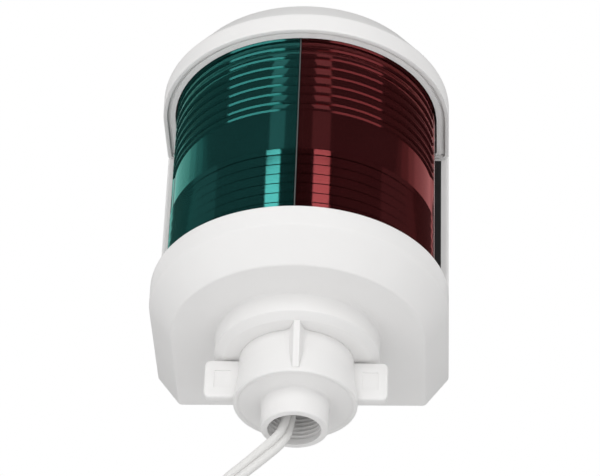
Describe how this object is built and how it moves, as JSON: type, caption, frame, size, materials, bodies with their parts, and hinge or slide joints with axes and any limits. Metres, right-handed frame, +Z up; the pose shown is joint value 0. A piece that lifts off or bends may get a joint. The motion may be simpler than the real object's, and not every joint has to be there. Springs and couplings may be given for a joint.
{
  "type": "navigation light",
  "caption": "Bicolour bow light: D-shaped white housing, ribbed green and red lens halves, festoon bulb inside, threaded pole adaptor underneath with a twin cable.",
  "frame": {"origin": "centre of the adaptor's mouth, where the pole enters", "axes": "+Z up along the pole thread, the lamp shines towards -Y, +X is the red side"},
  "size_m": [0.085, 0.0758, 0.2528],
  "materials": {
    "white_plastic": "moulded white ABS, satin",
    "black_plastic": "black moulded plastic, satin",
    "green_lens": "dark green tinted acrylic, polished, moulded ribs",
    "red_lens": "dark red tinted acrylic, polished, moulded ribs",
    "seal_rubber": "soft black rubber",
    "screw_steel": "stainless steel",
    "contact_brass": "sprung brass strip",
    "bulb_cap_metal": "nickel plated",
    "bulb_glass_clear": "clear blown glass",
    "filament_tungsten": "drawn tungsten wire",
    "cable_white": "white PVC sheath, satin",
    "lead_brown": "brown PVC sheath",
    "lead_blue": "blue PVC sheath",
    "tinned_copper": "tinned copper strands"
  },
  "bodies": {
    "adaptor": {"mounting_adaptor": "white_plastic", "lock_nut": "black_plastic", "cable_grommet": "seal_rubber", "power_cable": "cable_white", "cable_coil": "cable_white", "coil_tie": "black_plastic", "cable_tail": "cable_white", "wire_tip_positive": "tinned_copper", "wire_tip_negative": "tinned_copper"},
    "lamp": {"base": "white_plastic", "lower_lens_seal": "seal_rubber", "back_plate": "white_plastic", "inner_screen": "black_plastic", "lamp_holder": "black_plastic", "contact_upper": "contact_brass", "contact_lower": "contact_brass", "holder_screw_lower": "screw_steel", "holder_screw_upper": "screw_steel", "plate_screw_left": "screw_steel", "plate_screw_right": "screw_steel", "lead_wire_positive": "lead_brown", "lead_wire_negative": "lead_blue"},
    "hood": {"lens_green": "green_lens", "lens_red": "red_lens", "sector_divider": "black_plastic", "upper_lens_seal": "seal_rubber", "top_cap": "white_plastic", "cap_screw_left": "screw_steel", "cap_screw_right": "screw_steel"},
    "bulb": {"bulb_glass": "bulb_glass_clear", "bulb_cap_upper": "bulb_cap_metal", "bulb_cap_lower": "bulb_cap_metal", "bulb_filament": "filament_tungsten"}
  },
  "joints": [
    {"name": "lamp_swivel", "type": "hinge", "parent": "adaptor", "child": "lamp", "pos_m": [0, 0, 0.0262], "axis": [0, 0, 1], "range_deg": [-90, 90]},
    {"name": "hood_lift", "type": "slide", "parent": "lamp", "child": "hood", "axis": [0, 0, 1], "range_m": [0, 0.075]},
    {"name": "bulb_slide", "type": "slide", "parent": "lamp", "child": "bulb", "axis": [0, -1, 0], "range_m": [0, 0.012]}
  ]
}
